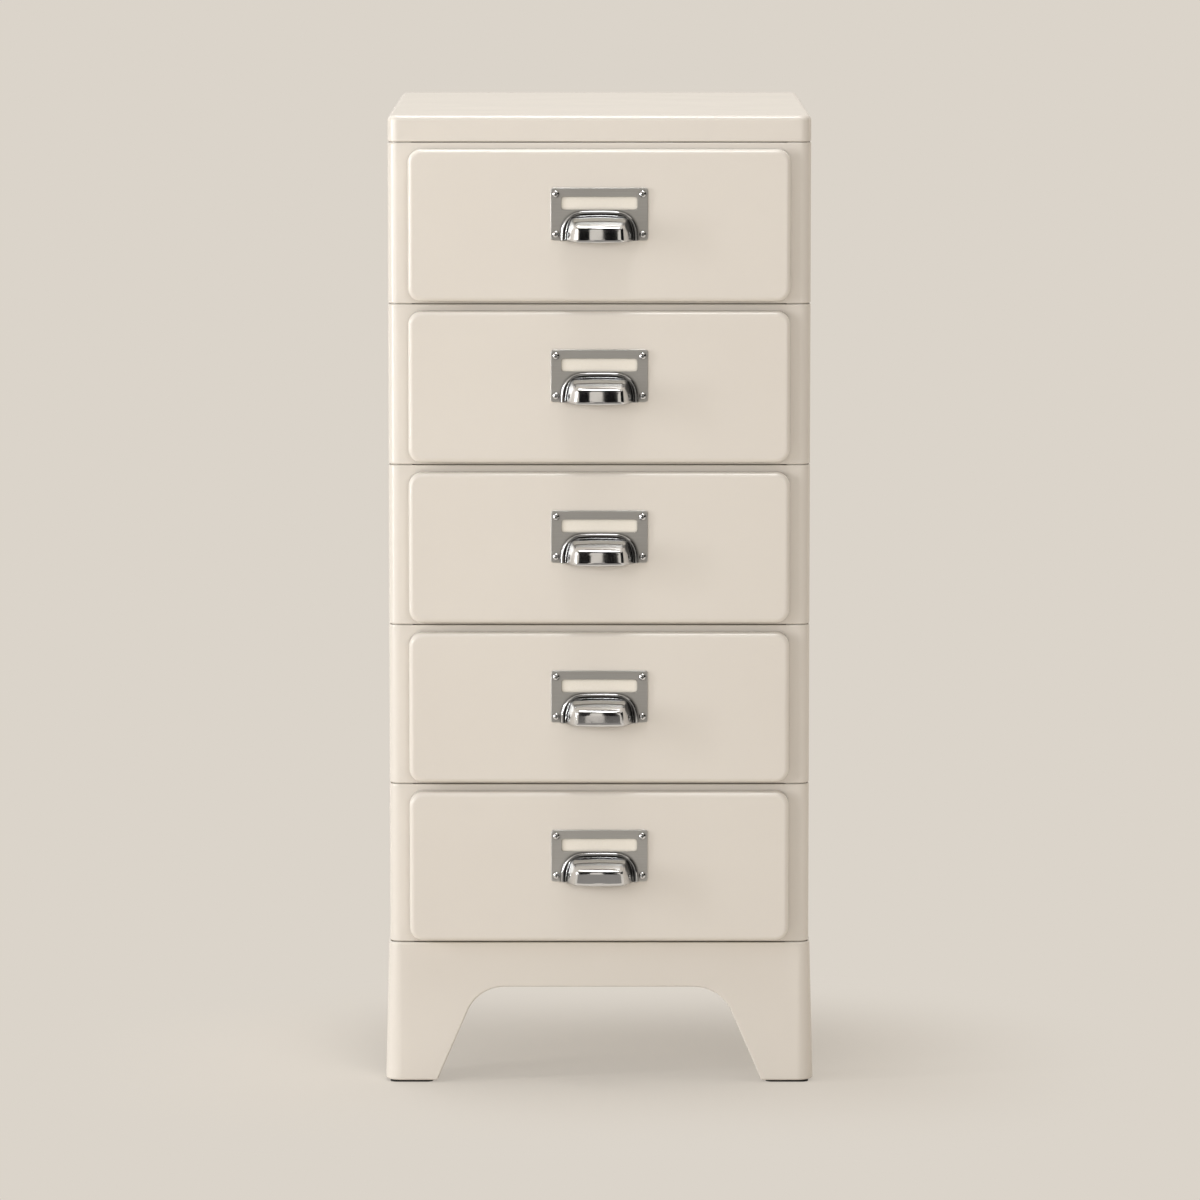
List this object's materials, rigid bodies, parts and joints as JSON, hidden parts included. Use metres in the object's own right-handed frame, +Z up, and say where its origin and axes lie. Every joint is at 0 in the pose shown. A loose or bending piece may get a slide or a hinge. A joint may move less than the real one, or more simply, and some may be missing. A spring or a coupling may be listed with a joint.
{
  "type": "archive cabinet",
  "caption": "Free-standing archive cabinet of stacked moulded drawer units with a lid and a legged base, sliding drawers and label-holder cup pulls.",
  "frame": {"origin": "middle of the overall box, on the floor", "axes": "+X to the right seen from the front, +Y to the back, +Z up; the drawers open along -Y"},
  "size_m": [0.3802, 0.4937, 0.86],
  "materials": {
    "cream_abs": "injection-moulded ABS, cream, semi-gloss",
    "white_acetal": "moulded acetal, off-white, low-friction",
    "satin_nickel": "pressed steel, satin nickel plate",
    "polished_chrome": "pressed steel, polished chrome plate",
    "zinc_steel": "zinc-plated steel",
    "card": "blank cream card",
    "black_rubber": "moulded rubber, black"
  },
  "bodies": {
    "cabinet": {"lid": "cream_abs", "base": "cream_abs", "foot_pads": "black_rubber", "stacking_pins": "white_acetal", "carcass_screws": "zinc_steel", "unit_frame_1": "cream_abs", "back_panel_1": "cream_abs", "runner_left_1": "white_acetal", "runner_right_1": "white_acetal", "unit_frame_2": "cream_abs", "back_panel_2": "cream_abs", "runner_left_2": "white_acetal", "runner_right_2": "white_acetal", "unit_frame_3": "cream_abs", "back_panel_3": "cream_abs", "runner_left_3": "white_acetal", "runner_right_3": "white_acetal", "unit_frame_4": "cream_abs", "back_panel_4": "cream_abs", "runner_left_4": "white_acetal", "runner_right_4": "white_acetal", "unit_frame_5": "cream_abs", "back_panel_5": "cream_abs", "runner_left_5": "white_acetal", "runner_right_5": "white_acetal"},
    "drawer_1": {"drawer_tub_1": "cream_abs", "drawer_front_1": "cream_abs", "pull_plate_1": "satin_nickel", "label_card_1": "card", "pull_cup_1": "polished_chrome", "pull_screws_1": "polished_chrome", "front_screws_1": "zinc_steel"},
    "drawer_2": {"drawer_tub_2": "cream_abs", "drawer_front_2": "cream_abs", "pull_plate_2": "satin_nickel", "label_card_2": "card", "pull_cup_2": "polished_chrome", "pull_screws_2": "polished_chrome", "front_screws_2": "zinc_steel"},
    "drawer_3": {"drawer_tub_3": "cream_abs", "drawer_front_3": "cream_abs", "pull_plate_3": "satin_nickel", "label_card_3": "card", "pull_cup_3": "polished_chrome", "pull_screws_3": "polished_chrome", "front_screws_3": "zinc_steel"},
    "drawer_4": {"drawer_tub_4": "cream_abs", "drawer_front_4": "cream_abs", "pull_plate_4": "satin_nickel", "label_card_4": "card", "pull_cup_4": "polished_chrome", "pull_screws_4": "polished_chrome", "front_screws_4": "zinc_steel"},
    "drawer_5": {"drawer_tub_5": "cream_abs", "drawer_front_5": "cream_abs", "pull_plate_5": "satin_nickel", "label_card_5": "card", "pull_cup_5": "polished_chrome", "pull_screws_5": "polished_chrome", "front_screws_5": "zinc_steel"}
  },
  "joints": [
    {"name": "drawer_1_slide", "type": "slide", "parent": "cabinet", "child": "drawer_1", "axis": [0, -1, 0], "range_m": [0, 0.31]},
    {"name": "drawer_2_slide", "type": "slide", "parent": "cabinet", "child": "drawer_2", "axis": [0, -1, 0], "range_m": [0, 0.31]},
    {"name": "drawer_3_slide", "type": "slide", "parent": "cabinet", "child": "drawer_3", "axis": [0, -1, 0], "range_m": [0, 0.31]},
    {"name": "drawer_4_slide", "type": "slide", "parent": "cabinet", "child": "drawer_4", "axis": [0, -1, 0], "range_m": [0, 0.31]},
    {"name": "drawer_5_slide", "type": "slide", "parent": "cabinet", "child": "drawer_5", "axis": [0, -1, 0], "range_m": [0, 0.31]}
  ]
}
